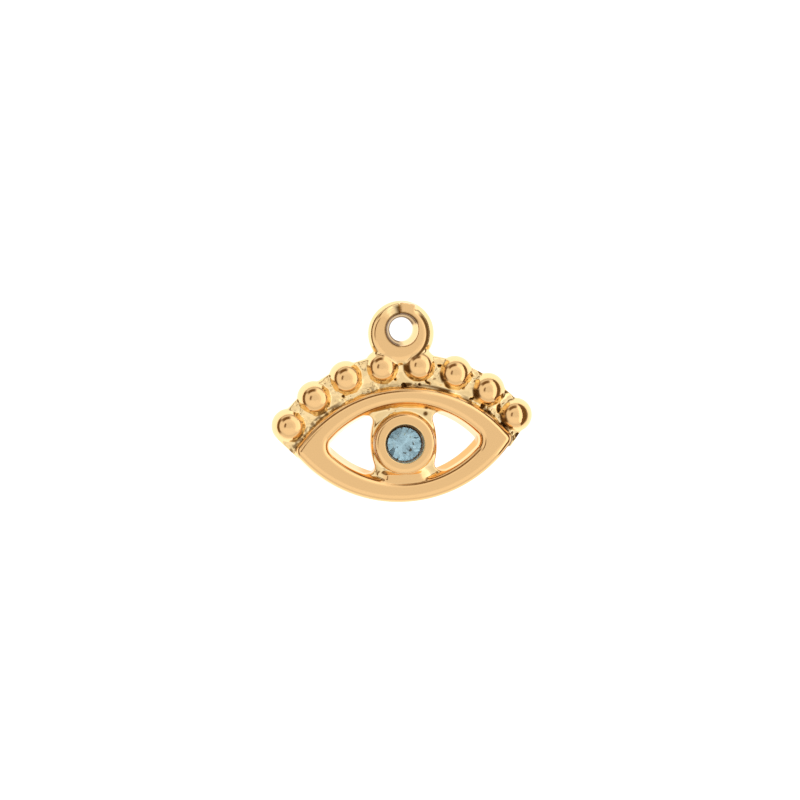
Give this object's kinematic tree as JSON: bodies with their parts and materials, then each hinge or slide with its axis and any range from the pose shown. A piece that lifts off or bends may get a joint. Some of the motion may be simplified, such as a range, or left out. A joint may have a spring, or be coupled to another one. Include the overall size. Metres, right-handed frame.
{
  "type": "evil eye pendant",
  "caption": "Flat cast eye charm with a domed-bead lash row, a round faceted stone in a raised collet, two pierced openings and a top loop with a round hole.",
  "frame": {"origin": "centre of the overall box in X and Y, on the flat back at Z = 0", "axes": "+X along the eye to the viewer's right, +Y up from the eye to the loop, +Z out of the face"},
  "size_m": [0.017, 0.0132, 0.0019],
  "materials": {
    "gold_plate": "cast brass, tumble polished and plated with pale yellow gold",
    "stone": "pale blue cut glass with a foiled back"
  },
  "bodies": {
    "root": {"casting": "gold_plate", "stone": "stone"}
  },
  "joints": []
}
